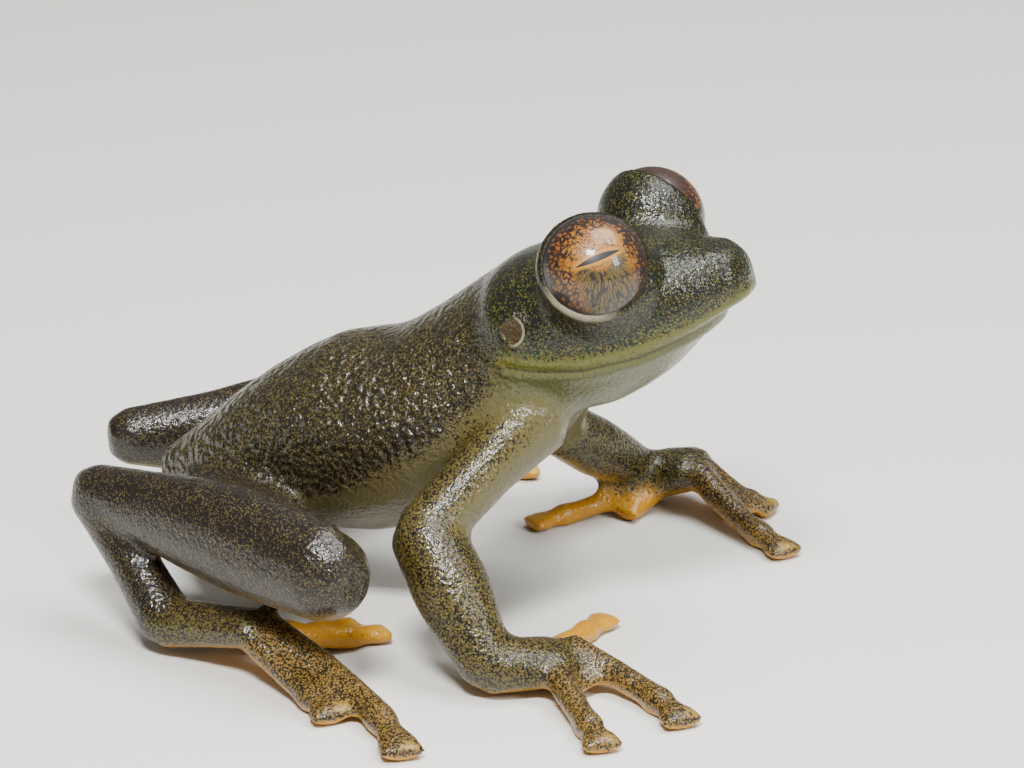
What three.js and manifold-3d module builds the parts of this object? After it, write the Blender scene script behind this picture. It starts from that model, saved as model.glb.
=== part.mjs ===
// A glass frog, life size, sitting on the floor with the chest raised.
// Millimetres, +Z up. The head looks along -Y, the frog's right side is -X.
import * as THREE from 'three';
import { mergeVertices } from 'three/addons/utils/BufferGeometryUtils.js';
import Module from 'manifold-3d';

const wasm = await Module();
wasm.setup();

// Driving sizes
const partGap = 0.3; // room between two pieces that touch
const shortestEdge = 0.02; // cuts leave nothing finer
const eyeRadius = 2.45;
const lidSpread = 0.13; // how far the lids stand out past the eyeball
const lidRim = 0.22; // radius of the rolled edge of the lids
const lidPlane = 0.5; // where the lids end, along the eye's axis from its centre
const eyeTilt = 33; // degrees that each eye looks up
const eyeTurn = 69; // degrees that each eye looks outwards from straight ahead
const headTurn = -5; // degrees, the head is turned a little to the right
const eyeCentre = [3.9, -5.38, 18.0];
const nostril = [1.15, -9.95, 18.2];
const nostrilSwell = 0.42; // radius of the low mound around a nostril
const nostrilPit = 0.17;
const nostrilFacing = [0.59, -0.49, 0.64];
const mouthHalf = 0.18; // half the height of the slit between the lips
const mouthDeep = 20; // past the crown and past the throat
const eardrum = [4.93, -1.9, 15.05];
const eardrumFacing = [0.94, 0.05, 0.32];
const eardrumRing = 0.62; // radius of the ring's middle line
const eardrumEdge = 0.17;
const lipHeight = 0.55; // how far up and down from the mouth the lips reach
const lipSwell = 0.13; // how far the lips stand out from the cheek and chin
const neckPoint = [0, -0.75, 14.0];
const neckFacing = [0, -0.874, 0.487]; // towards the snout
const neckReach = 30; // the blocks that part head and trunk are wider than both
const neckDepth = 12;
const padLength = 0.6; // roundness of the end of a finger
const webHalf = 0.26; // half the thickness of the webs

// The mouth seen from the side, [y, z] from behind its corner to in front of the snout.
const mouthLine = [
  [1.5, 13.6],
  [-1.2, 13.3],
  [-3.0, 13.27],
  [-5.1, 13.5],
  [-7.5, 14.17],
  [-9.6, 15.02],
  [-11.2, 16.0],
  [-13.0, 17.4],
];

const skinBrown = 0x3b3320;
const skinOlive = 0x46431f;
const limbOlive = 0x4b4522;
const tipOrange = 0xd58a1c;
const bellyCream = 0xc9c2a0;
const irisCopper = 0xb8793c;
const moistSkin = 0.4; // roughness
const wetEye = 0.15;

const radians = THREE.MathUtils.degToRad;
const vector = (point) => new THREE.Vector3(...point);
const mirrored = (point, side) => [side * point[0], point[1], point[2]];
const blend = (from, to, share) => vector(from).lerp(vector(to), share).toArray();
const withRadius = (point, ...sizes) => [...point, ...sizes];
const upDirection = [0, 0, 1];

// A closed body drawn through stations of [x, y, z, half width, height up, height down].
function loft(stations, options = {}) {
  const { sides = 12, steps = 3, capRows = 2, cap = 0.8, up = upDirection, square = 1, grow = 0 } = options;
  const centres = new THREE.CatmullRomCurve3(stations.map((spot) => vector(spot.slice(0, 3))));
  const sizes = new THREE.CatmullRomCurve3(
    stations.map((spot) => vector([spot[3], spot[4] ?? spot[3], spot[5] ?? spot[4] ?? spot[3]])),
  );
  const spans = (stations.length - 1) * steps;
  const rows = spans + 2 * capRows;
  const body = new THREE.SphereGeometry(1, sides, rows);
  const spots = body.attributes.position;
  for (let row = 0; row <= rows; row += 1) {
    const along = THREE.MathUtils.clamp((row - capRows) / spans, 0, 1);
    const toEnd = Math.min(row, rows - row, capRows) / capRows;
    const swell = Math.sin((toEnd * Math.PI) / 2);
    const past = Math.cos((toEnd * Math.PI) / 2) * (row < rows / 2 ? -1 : 1);
    const size = sizes.getPoint(along);
    const heading = centres.getTangent(along);
    const across = vector(up).cross(heading).normalize();
    const lift = heading.clone().cross(across);
    const centre = centres.getPoint(along);
    centre.addScaledVector(heading, past * (cap * 0.5 * (size.y + size.z) + grow));
    for (let column = 0; column <= sides; column += 1) {
      const turn = -((column % sides) / sides) * Math.PI * 2;
      const wide = rounded(Math.cos(turn), square) * (size.x + grow) * swell;
      const tall = rounded(Math.sin(turn), square) * swell;
      const height = tall * ((tall > 0 ? size.y : size.z) + grow);
      const spot = centre.clone().addScaledVector(across, wide).addScaledVector(lift, height);
      spots.setXYZ(row * (sides + 1) + column, spot.x, spot.y, spot.z);
    }
  }
  return solid(body);
}

// Below 1 the section grows squarer than an ellipse.
function rounded(value, square) {
  return Math.sign(value) * Math.abs(value) ** square;
}

function solid(geometry) {
  geometry.deleteAttribute('normal');
  geometry.deleteAttribute('uv');
  const merged = mergeVertices(geometry, 1e-5);
  const mesh = new wasm.Mesh({
    numProp: 3,
    vertProperties: Float32Array.from(merged.attributes.position.array),
    triVerts: Uint32Array.from(merged.index.array),
    tolerance: shortestEdge,
  });
  return new wasm.Manifold(mesh);
}

function ball(centre, radius, sides = 20) {
  return solid(new THREE.SphereGeometry(radius, sides, Math.round(sides * 0.6)).translate(...centre));
}

// The turn that brings +Z to a direction.
function turnTo(facing) {
  return new THREE.Quaternion().setFromUnitVectors(vector(upDirection), vector(facing).normalize());
}

function ring(centre, axis, radius, thickness, sides) {
  const hoop = new THREE.TorusGeometry(radius, thickness, 8, sides);
  return solid(hoop.applyQuaternion(turnTo(axis)).translate(...centre));
}

// A block that fills one side of a plane and half a gap behind it.
function block(point, facing, reach, depth) {
  const shape = new THREE.BoxGeometry(reach, reach, depth).translate(0, 0, (depth - partGap) / 2);
  return solid(shape.applyQuaternion(turnTo(facing)).translate(...point));
}

const turnedBack = (facing) => vector(facing).negate().toArray();

// Parts two pieces at a plane: the first keeps the back of it, the second keeps the front.
function parted(first, second, point, facing, reach, depth) {
  return [
    first.subtract(block(point, facing, reach, depth)),
    second.subtract(block(point, turnedBack(facing), reach, depth)),
  ];
}

// The plane that halves the bend between two lengths of a limb.
function bendFacing(before, joint, after) {
  const toBefore = vector(before).sub(vector(joint)).normalize();
  const toAfter = vector(after).sub(vector(joint)).normalize();
  return toAfter.sub(toBefore).normalize().toArray();
}

function aboveFloor(piece) {
  const floor = new THREE.BoxGeometry(80, 80, 4).translate(0, 0, -2);
  return piece.subtract(solid(floor));
}

function largest(piece) {
  return piece.decompose().sort((one, other) => other.volume() - one.volume())[0];
}

function meshOf(name, piece, color, roughness) {
  const { vertProperties, triVerts } = largest(piece).getMesh();
  const geometry = new THREE.BufferGeometry();
  geometry.setAttribute('position', new THREE.BufferAttribute(vertProperties.slice(), 3));
  geometry.setIndex(new THREE.BufferAttribute(triVerts.slice(), 1));
  geometry.computeVertexNormals();
  const mesh = new THREE.Mesh(geometry, new THREE.MeshStandardMaterial({ color, roughness, metalness: 0 }));
  mesh.name = name;
  return mesh;
}

// The trunk, from the throat back to the vent.
function trunk(grow = 0) {
  const stations = [
    [0, -3.6, 14.6, 4.2, 2.8, 4.0],
    [0, -1.7, 13.3, 4.9, 3.8, 4.1],
    [0, 0.9, 10.9, 5.0, 4.1, 4.1],
    [0, 3.9, 8.7, 5.5, 4.4, 4.6],
    [0, 7.2, 7.6, 5.1, 4.7, 4.6],
    [0, 10.6, 6.7, 4.1, 3.7, 3.7],
    [0, 13.6, 5.7, 3.0, 2.4, 2.5],
    [0, 16.2, 4.9, 1.5, 1.2, 1.3],
  ];
  return loft(stations, { sides: 26, steps: 2, cap: 0.75, square: 0.94, grow });
}

// The head and the lower jaw before the mouth parts them.
function headMass(grow = 0) {
  const stations = [
    [0, 1.6, 12.9, 4.2, 2.7, 3.6],
    [0, -1.4, 14.0, 5.1, 3.2, 4.4],
    [0, -4.4, 15.0, 5.15, 3.4, 4.3],
    [0, -7.0, 15.9, 4.5, 2.9, 3.4],
    [0, -9.1, 16.65, 3.2, 2.1, 2.0],
    [0, -10.45, 17.1, 1.9, 1.6, 1.25],
  ];
  return loft(stations, { sides: 26, steps: 2, cap: 0.7, square: 0.9, grow });
}

function eyeAxis(side) {
  const level = Math.cos(radians(eyeTilt));
  return [
    side * Math.sin(radians(eyeTurn)) * level,
    -Math.cos(radians(eyeTurn)) * level,
    Math.sin(radians(eyeTilt)),
  ];
}

function alongAxis(centre, axis, distance) {
  return vector(centre).addScaledVector(vector(axis), distance).toArray();
}

// The skin dome behind each eyeball, ending in the rolled edge of its lids.
function lidDome(side) {
  const centre = mirrored(eyeCentre, side);
  const axis = eyeAxis(side);
  const dome = ball(centre, eyeRadius + lidSpread, 24);
  const rim = ring(alongAxis(centre, axis, lidPlane - 0.8 * lidRim), axis, eyeRadius - 0.07, lidRim, 28);
  const front = block(alongAxis(centre, axis, lidPlane + partGap / 2), axis, 12, 4);
  return dome.subtract(front).add(rim);
}

// The room that the eyeball takes in front of its lids.
function eyeRoom(side) {
  const centre = mirrored(eyeCentre, side);
  const axis = eyeAxis(side);
  const back = block(alongAxis(centre, axis, lidPlane - partGap / 2 + 0.07), turnedBack(axis), 12, 4);
  return ball(centre, eyeRadius + partGap, 22).subtract(back);
}

function eyeball(side) {
  const centre = mirrored(eyeCentre, side);
  const axis = eyeAxis(side);
  const back = block(alongAxis(centre, axis, lidPlane + partGap / 2), turnedBack(axis), 12, 4);
  return ball(centre, eyeRadius, 24).subtract(back);
}

// All that lies between two heights above the mouth line, from cheek to cheek.
function mouthBand(low, high) {
  const line = new THREE.SplineCurve(mouthLine.map((spot) => new THREE.Vector2(...spot))).getPoints(14);
  const lower = line.map((spot) => new THREE.Vector2(spot.x, spot.y + low));
  const upper = line.map((spot) => new THREE.Vector2(spot.x, spot.y + high)).reverse();
  const width = 20;
  const band = new THREE.ExtrudeGeometry(new THREE.Shape([...lower, ...upper]), {
    depth: width, steps: 1, bevelEnabled: false,
  });
  band.translate(0, 0, -width / 2);
  band.applyMatrix4(new THREE.Matrix4().makeBasis(
    new THREE.Vector3(0, 1, 0), new THREE.Vector3(0, 0, 1), new THREE.Vector3(1, 0, 0)));
  return solid(band);
}

function withNostril(head, side) {
  const centre = mirrored(nostril, side);
  const pit = ball(alongAxis(centre, mirrored(nostrilFacing, side), nostrilSwell), nostrilPit, 8);
  return head.add(ball(centre, nostrilSwell, 10)).subtract(pit);
}

function withEardrum(head, side) {
  const drum = ring(mirrored(eardrum, side), mirrored(eardrumFacing, side), eardrumRing, eardrumEdge, 16);
  return head.add(drum);
}

function headPieces() {
  const lips = headMass(lipSwell).intersect(mouthBand(-lipHeight, lipHeight));
  const plain = headMass().add(lips);
  let head = plain;
  for (const side of [-1, 1]) {
    head = head.add(lidDome(side)).subtract(eyeRoom(side));
    head = withEardrum(withNostril(head, side), side);
  }
  const behind = block(neckPoint, turnedBack(neckFacing), neckReach, neckDepth);
  return {
    head: head.intersect(mouthBand(mouthHalf, mouthDeep)).subtract(behind),
    jaw: plain.intersect(mouthBand(-mouthDeep, -mouthHalf)).subtract(behind),
  };
}

// A length of limb, [x, y, z, radius] at each station.
function limb(stations, up, options = {}) {
  return loft(stations, { sides: 14, steps: 2, up, cap: 0.85, ...options });
}

// A finger or toe from its knuckle to its truncated pad, bowed sideways by bow.
function digit({ base, tip, girth, bow = 0 }, grow = 0) {
  const reach = vector(tip).sub(vector(base));
  const sideways = new THREE.Vector3(-reach.y, reach.x, 0).normalize();
  const shares = [0, 0.3, 0.56, 0.72, 0.82, 0.92, 1];
  const widths = [1.1, 0.95, 0.9, 1.06, 0.86, 1.32, 1.42];
  const heights = [1.1, 0.95, 0.86, 1.02, 0.7, 0.68, 0.5];
  const stations = shares.map((share, index) => {
    const spot = vector(base).lerp(vector(tip), share);
    spot.addScaledVector(sideways, bow * Math.sin(Math.PI * share));
    const sag = (base[2] - tip[2]) * 0.25 * Math.sin(Math.PI * share);
    return [spot.x, spot.y, spot.z - sag, girth * widths[index], girth * heights[index]];
  });
  return loft(stations, { sides: 10, steps: 1, cap: padLength, grow });
}

// A thin web of skin, [x, y, z, half width] at each station.
function web(stations) {
  const flat = stations.map((spot) => [...spot, webHalf]);
  return loft(flat, { sides: 8, steps: 1, cap: 0.4, square: 0.6 });
}

const arms = {
  right: {
    side: -1,
    girth: 1,
    shoulder: [-3.7, -2.0, 10.5],
    elbow: [-8.5, 1.6, 6.3],
    wrist: [-11.2, -2.1, 1.35],
    palm: [-9.3, -4.7, 1.2],
    fingers: [
      { base: [-9.3, -2.6, 0.9], tip: [-6.6, 0.1, 0.36], girth: 0.5 },
      { base: [-8.6, -3.6, 1.0], tip: [-2.1, -5.1, 0.36], girth: 0.56 },
      { base: [-8.5, -5.1, 1.45], tip: [-12.5, -11.4, 0.4], girth: 0.68, bow: 0.7 },
      { base: [-10.2, -4.9, 1.2], tip: [-16.0, -8.7, 0.4], girth: 0.66 },
    ],
    web: [[-9.8, -5.3, 1.0, 0.8], [-10.2, -5.9, 0.85, 0.95], [-10.5, -6.4, 0.6, 1.0]],
  },
  left: {
    side: 1,
    girth: 0.82,
    shoulder: [3.7, -2.0, 10.0],
    elbow: [9.0, 0.4, 5.3],
    wrist: [14.0, -3.0, 1.25],
    palm: [13.8, -5.2, 1.95],
    fingers: [
      { base: [13.0, -2.8, 1.0], tip: [8.4, 1.4, 0.36], girth: 0.56 },
      { base: [12.9, -3.6, 1.0], tip: [10.9, -2.6, 0.36], girth: 0.56 },
      { base: [13.3, -5.4, 2.1], tip: [8.1, -11.3, 0.4], girth: 0.66 },
      { base: [14.2, -5.4, 2.1], tip: [13.4, -9.3, 0.4], girth: 0.64 },
    ],
    web: [[13.6, -5.9, 1.5, 0.5], [12.9, -7.4, 1.1, 0.8], [12.2, -8.7, 0.8, 1.0]],
  },
};

const legs = {
  right: {
    side: -1,
    shankHeight: 1,
    hip: [-2.8, 13.6, 4.1],
    knee: [-13.3, 4.6, 5.7],
    heel: [-6.9, 17.9, 5.8],
    ankle: [-10.4, 13.3, 1.45],
    ball: [-11.6, 8.6, 2.1],
    toes: [
      { base: [-10.2, 10.6, 1.1], tip: [-7.0, 9.4, 0.36], girth: 0.46 },
      { base: [-10.4, 9.6, 1.3], tip: [-5.9, 5.8, 0.36], girth: 0.5 },
      { base: [-10.7, 8.4, 1.8], tip: [-6.5, 4.2, 0.38], girth: 0.58 },
      { base: [-11.4, 8.1, 2.1], tip: [-19.1, -0.6, 0.42], girth: 0.7, bow: 1.1 },
      { base: [-12.0, 8.9, 2.05], tip: [-16.3, 3.5, 0.42], girth: 0.68, bow: 0.3 },
    ],
    web: [[-12.0, 8.0, 1.7, 0.8], [-13.4, 5.8, 1.2, 0.9], [-15.1, 3.9, 0.7, 0.9]],
  },
  left: {
    side: 1,
    shankHeight: 0.78,
    hip: [2.8, 13.6, 4.1],
    knee: [13.0, 6.2, 5.6],
    heel: [6.0, 21.1, 3.6],
    ankle: [10.0, 14.6, 1.4],
    ball: [12.7, 9.3, 1.8],
    toes: [
      { base: [10.9, 11.6, 1.1], tip: [8.5, 9.0, 0.36], girth: 0.46 },
      { base: [11.5, 10.4, 1.2], tip: [11.0, 5.2, 0.36], girth: 0.5 },
      { base: [12.1, 9.3, 1.5], tip: [15.4, 3.2, 0.38], girth: 0.58 },
      { base: [13.1, 9.1, 1.85], tip: [22.0, 2.2, 0.42], girth: 0.7, bow: -0.6 },
      { base: [13.5, 10.1, 1.7], tip: [19.5, 6.5, 0.42], girth: 0.68, bow: -0.3 },
    ],
    web: [[13.8, 9.2, 1.5, 0.6], [16.2, 7.2, 1.0, 0.9], [18.2, 5.7, 0.6, 0.9]],
  },
};

const torsoRoom = trunk(partGap);

function armPieces(arm) {
  const outward = [arm.side, 0, 0.3];
  const upperRaw = limb([
    withRadius(arm.shoulder, 1.9 * arm.girth),
    withRadius(blend(arm.shoulder, arm.elbow, 0.45), 1.45 * arm.girth),
    withRadius(arm.elbow, 1.45 * arm.girth),
  ], outward);
  const foreRaw = limb([
    withRadius(arm.elbow, 1.65 * arm.girth),
    withRadius(blend(arm.elbow, arm.wrist, 0.4), 1.8 * arm.girth),
    withRadius(blend(arm.elbow, arm.wrist, 0.8), 1.45 * arm.girth),
    withRadius(arm.wrist, 1.25 * arm.girth),
  ], outward);
  const handStations = [
    withRadius(arm.wrist, 1.3, 1.2),
    withRadius(blend(arm.wrist, arm.palm, 0.5), 1.6, 1.15),
    withRadius(arm.palm, 1.75, 0.95, 1.1),
  ];
  const handShape = (grow) => limb(handStations, upDirection, { grow });
  const elbowFacing = bendFacing(arm.shoulder, arm.elbow, arm.wrist);
  const wristFacing = bendFacing(arm.elbow, arm.wrist, arm.palm);
  const [upperArm, foreFromElbow] = parted(upperRaw, foreRaw, arm.elbow, elbowFacing, 9, 4);
  const [forearm, hand] = parted(foreFromElbow, handShape(0), arm.wrist, wristFacing, 7, 3);
  const wristRoom = limb([
    withRadius(arm.wrist, 1.25 + partGap),
    withRadius(blend(arm.wrist, arm.elbow, 0.4), 1.7 + partGap),
  ], outward);
  const fingers = digitPieces(arm.fingers, arm.web, handShape(partGap).add(wristRoom));
  return { upper_arm: upperArm.subtract(torsoRoom), forearm, hand, fingers };
}

// Each digit keeps clear of the sole and of the digits before it; the last carries the web.
function digitPieces(list, webStations, room) {
  let taken = room;
  return list.map((shape, index) => {
    const last = index === list.length - 1;
    const whole = last ? digit(shape).add(web(webStations)) : digit(shape);
    const piece = whole.subtract(taken);
    taken = taken.add(digit(shape, partGap));
    return piece;
  });
}

function legPieces(leg) {
  const outward = [leg.side, 0, 0.6];
  const thighRaw = limb([
    withRadius(leg.hip, 2.0),
    withRadius(blend(leg.hip, leg.knee, 0.4), 2.3, 2.0, 2.1),
    withRadius(blend(leg.hip, leg.knee, 0.8), 2.1),
    withRadius(leg.knee, 2.05),
  ], upDirection);
  const shankRaw = limb([
    withRadius(leg.knee, 2.05, 2.5 * leg.shankHeight, 2.05),
    withRadius(blend(leg.knee, leg.heel, 0.35), 2.0, 2.85 * leg.shankHeight, 2.2),
    withRadius(blend(leg.knee, leg.heel, 0.75), 1.5, 2.1 * leg.shankHeight, 1.6),
    withRadius(leg.heel, 1.35, 1.5, 1.4),
  ], upDirection);
  const tarsusRaw = limb([
    withRadius(leg.heel, 1.3),
    withRadius(blend(leg.heel, leg.ankle, 0.5), 1.15),
    withRadius(leg.ankle, 1.3),
  ], outward);
  const footStations = [
    withRadius(leg.ankle, 1.25, 1.2),
    withRadius(blend(leg.ankle, leg.ball, 0.5), 1.15, 1.0),
    withRadius(leg.ball, 1.35, 0.85),
  ];
  const footShape = (grow) => limb(footStations, upDirection, { grow });
  const [thigh, shankFromKnee] = parted(
    thighRaw, shankRaw, leg.knee, bendFacing(leg.hip, leg.knee, leg.heel), 20, 5);
  const [shank, tarsusFromHeel] = parted(
    shankFromKnee, tarsusRaw, leg.heel, bendFacing(leg.knee, leg.heel, leg.ankle), 20, 5);
  const [tarsus, foot] = parted(
    tarsusFromHeel, footShape(0), leg.ankle, bendFacing(leg.heel, leg.ankle, leg.ball), 6, 3);
  const toes = digitPieces(leg.toes, leg.web, footShape(partGap));
  return { thigh: thigh.subtract(torsoRoom), shank, tarsus, foot, toes };
}

// Where a point or direction of the head lies once the head is turned.
function turnedWithHead(point) {
  return vector(point).applyAxisAngle(vector(upDirection), radians(headTurn)).toArray();
}

const frog = new THREE.Group();
const { head, jaw } = headPieces();
const headGroup = new THREE.Group();
headGroup.rotation.z = radians(headTurn);
headGroup.add(meshOf('head', head, skinOlive, moistSkin));
headGroup.add(meshOf('lower_jaw', jaw, bellyCream, moistSkin));
headGroup.add(meshOf('right_eye', eyeball(-1), irisCopper, wetEye));
headGroup.add(meshOf('left_eye', eyeball(1), irisCopper, wetEye));
frog.add(headGroup);
const aheadOfNeck = block(turnedWithHead(neckPoint), turnedWithHead(neckFacing), neckReach, neckDepth);
frog.add(meshOf('torso', trunk().subtract(aheadOfNeck), skinBrown, moistSkin));

for (const name of ['right', 'left']) {
  const { fingers, ...armParts } = armPieces(arms[name]);
  for (const [part, piece] of Object.entries(armParts)) {
    frog.add(meshOf(`${name}_${part}`, aboveFloor(piece), limbOlive, moistSkin));
  }
  fingers.forEach((piece, index) => {
    frog.add(meshOf(`${name}_finger_${index + 1}`, aboveFloor(piece), tipOrange, moistSkin));
  });
  const { toes, ...legParts } = legPieces(legs[name]);
  for (const [part, piece] of Object.entries(legParts)) {
    frog.add(meshOf(`${name}_${part}`, aboveFloor(piece), limbOlive, moistSkin));
  }
  toes.forEach((piece, index) => {
    frog.add(meshOf(`${name}_toe_${index + 1}`, aboveFloor(piece), tipOrange, moistSkin));
  });
}

// The origin is the middle of the footprint, on the floor.
const extent = new THREE.Box3().setFromObject(frog);
const middle = extent.getCenter(new THREE.Vector3());
frog.position.set(-middle.x, -middle.y, -extent.min.z);
const model = new THREE.Group();
model.add(frog);

export default model;
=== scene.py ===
# A life-size glass frog: one moist skin drawn over the solids, two eyes, a pale floor and soft light.
import bpy
import bmesh
import math
import numpy as np
from mathutils import Matrix, Vector
from mathutils.bvhtree import BVHTree
from mathutils.kdtree import KDTree


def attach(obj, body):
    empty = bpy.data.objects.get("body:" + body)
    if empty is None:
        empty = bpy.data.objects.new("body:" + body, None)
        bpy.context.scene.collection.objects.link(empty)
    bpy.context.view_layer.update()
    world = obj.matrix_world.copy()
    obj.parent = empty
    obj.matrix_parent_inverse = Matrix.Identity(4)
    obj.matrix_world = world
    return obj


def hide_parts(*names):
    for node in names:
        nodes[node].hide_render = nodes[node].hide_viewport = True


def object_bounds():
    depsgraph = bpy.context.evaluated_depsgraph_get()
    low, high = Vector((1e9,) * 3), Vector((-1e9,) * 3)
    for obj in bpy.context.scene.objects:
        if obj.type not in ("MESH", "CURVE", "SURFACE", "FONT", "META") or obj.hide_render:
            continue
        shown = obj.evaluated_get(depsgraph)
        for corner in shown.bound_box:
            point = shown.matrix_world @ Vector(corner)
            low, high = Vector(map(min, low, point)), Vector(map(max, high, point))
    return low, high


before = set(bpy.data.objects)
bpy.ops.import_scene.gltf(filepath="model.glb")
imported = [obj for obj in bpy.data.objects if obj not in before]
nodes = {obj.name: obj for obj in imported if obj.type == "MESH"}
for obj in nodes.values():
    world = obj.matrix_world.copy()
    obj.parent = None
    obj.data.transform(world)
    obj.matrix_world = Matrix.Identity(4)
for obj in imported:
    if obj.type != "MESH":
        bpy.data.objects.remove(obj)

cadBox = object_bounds()
mm = 0.001
print("frame loaded:", len(nodes), "nodes")


# sRGB hex to linear
def hexColour(text):
    parts = [int(text[i:i + 2], 16) / 255 for i in (1, 3, 5)]
    linear = [c / 12.92 if c <= 0.04045 else ((c + 0.055) / 1.055) ** 2.4 for c in parts]
    return (*linear, 1.0)


# one node with its settings and links; a link is a socket, a setting is a value
def addNode(tree, kind, links=None, **settings):
    node = tree.nodes.new(kind)
    for key, value in settings.items():
        setattr(node, key, value)
    for key, value in (links or {}).items():
        socket = node.inputs[key]
        if isinstance(value, bpy.types.NodeSocket):
            tree.links.new(value, socket)
        else:
            socket.default_value = value
    return node


def newMaterial(name):
    material = bpy.data.materials.new(name)
    material.use_nodes = True
    material.node_tree.nodes.clear()
    return material, material.node_tree


# the sums and blends that the materials share, in one node tree
class Mixer:
    def __init__(self, tree):
        self.tree = tree

    # each colour is a socket, a hex text or four values
    def blend(self, factor, *colours, way="MIX"):
        first, second = [hexColour(colour) if isinstance(colour, str) else colour for colour in colours]
        node = addNode(self.tree, "ShaderNodeMix", {0: factor, 6: first, 7: second},
                       data_type="RGBA", blend_type=way)
        return node.outputs[2]

    def sum(self, operation, *values):
        return addNode(self.tree, "ShaderNodeMath", dict(enumerate(values)), operation=operation).outputs[0]

    def times(self, first, second):
        return self.sum("MULTIPLY", first, second)

    # 0 below low, 1 above high, soft between, or from start to end
    def ramp(self, value, low, high, start=0.0, end=1.0):
        links = {"Value": value, "From Min": low, "From Max": high, "To Min": start, "To Max": end}
        return addNode(self.tree, "ShaderNodeMapRange", links, interpolation_type="SMOOTHSTEP").outputs[0]

    # 1 up to low, 0 from high on
    def fade(self, value, low, high):
        return self.ramp(value, low, high, 1.0, 0.0)

    # 1 near the middle, 0 from high on to either side of it
    def band(self, value, middle, low, high):
        return self.fade(self.sum("ABSOLUTE", self.sum("SUBTRACT", value, middle)), low, high)

    def noise(self, place, size, detail=2.0):
        links = {"Vector": place, "Scale": 1 / size, "Detail": detail}
        return addNode(self.tree, "ShaderNodeTexNoise", links)

    def cells(self, place, scale, feature="F1"):
        links = {"Vector": place, "Scale": scale}
        return addNode(self.tree, "ShaderNodeTexVoronoi", links, feature=feature)

    # a place pushed about by a noise
    def pushed(self, place, noise, reach):
        centred = addNode(self.tree, "ShaderNodeVectorMath", {0: noise.outputs["Color"], 1: (-0.5,) * 3})
        links = {0: centred.outputs[0], 1: reach, 2: place}
        return addNode(self.tree, "ShaderNodeVectorMath", links, operation="MULTIPLY_ADD").outputs[0]

    # the four values that a vertex layer holds
    def layer(self, name):
        node = addNode(self.tree, "ShaderNodeVertexColor", layer_name=name)
        parts = addNode(self.tree, "ShaderNodeSeparateColor", {"Color": node.outputs["Color"]})
        return [*parts.outputs[:3], node.outputs["Alpha"]]


def sampleNode(name):
    mesh = nodes[name].data
    points = np.empty(len(mesh.vertices) * 3)
    mesh.vertices.foreach_get("co", points)
    return points.reshape(-1, 3)


# the sphere through an eye's solid, and the way that its round front faces
def eyePlace(name):
    points = sampleNode(name)
    system = np.c_[2 * points, np.ones(len(points))]
    solved = np.linalg.lstsq(system, (points ** 2).sum(1), rcond=None)[0]
    centre = Vector(solved[:3])
    radius = math.sqrt(solved[3] + centre.length_squared)
    roundFrom = 0.9 * radius  # faces further out than this belong to the round front
    axis = Vector()
    for face in nodes[name].data.polygons:
        if (face.center - centre).length > roundFrom:
            axis += face.normal * face.area
    return {"centre": centre, "radius": radius, "axis": axis.normalized()}


eyes = {side: eyePlace(side + "_eye") for side in ("right", "left")}
eyeMiddle = (eyes["right"]["centre"] + eyes["left"]["centre"]) / 2
headLeft = (eyes["left"]["centre"] - eyes["right"]["centre"]).normalized()
headFront = headLeft.cross(Vector((0, 0, 1))).normalized()
print("eye radius mm", round(eyes["right"]["radius"] / mm, 3))

# the solids' own drawing frame has the point between the eyes here, in mm
eyeMiddleDrawn = Vector((-0.469, -5.360, 18.0))
drawnShift = eyeMiddle - eyeMiddleDrawn * mm


# Skin: everything of flesh, in one closed mesh
skin = {
    "voxel": 0.2,  # mm, grid of the remeshed skin
    "closeGap": 0.2,  # mm that each node swells by, so that the gaps between them close
    "mergeWithin": 0.002,  # mm
    "undersideFrom": -0.5,  # upward share of the normal, below which the shank doesn't swell
    "pull": 0.5,  # share of the way to its neighbours that a vertex goes in a round
    "push": 0.53,  # share that it goes back where the volume is kept
    "lidReach": 2.4,  # mm from the eyeball's centre to the lid, where the smoothing is less
    "lidWidth": 0.5,
    "eyeBack": (-0.8, 0.1),  # mm along the eye's axis, behind which the smoothing is whole
    "partSpread": 8,  # rounds that a region's edge is softened by
    "trunkRounds": 32,  # smoothing of the broad forms
    "limbRounds": 15,
    "evenRounds": 7,  # smoothing that keeps the volume
    "seamRounds": 22,  # smoothing where two nodes meet
    "seamSpread": 14,
    "seamGain": 3,
    "settleRounds": 11,
    "settleSpread": 5,
    "settleGain": 4,
    "heightLimit": 0.6,  # mm, the most that the skin is moved by to meet the solids
    "lastRounds": 2,
    "neckRounds": 34,
    "neckWidth": 1.1,  # mm to either side of the neck's plane
    "neckSpread": 4,
}
fleshNames = sorted(name for name in nodes if not name.endswith("_eye"))


def joinedFlesh(swell):
    work = bmesh.new()
    for name in fleshNames:
        one = bmesh.new()
        one.from_mesh(nodes[name].data)
        bmesh.ops.remove_doubles(one, verts=one.verts, dist=skin["mergeWithin"] * mm)
        bmesh.ops.scale(one, vec=(1 / mm,) * 3, verts=one.verts)
        one.normal_update()
        for vert in one.verts:
            # the shank's underside doesn't swell, to leave more room over the foot below it
            clear = "shank" in name and vert.normal.z < skin["undersideFrom"]
            vert.co += vert.normal * (0 if clear else swell)
        part = bpy.data.meshes.new("flesh")
        one.to_mesh(part)
        work.from_mesh(part)
        one.free()
        bpy.data.meshes.remove(part)
    return work


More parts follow.
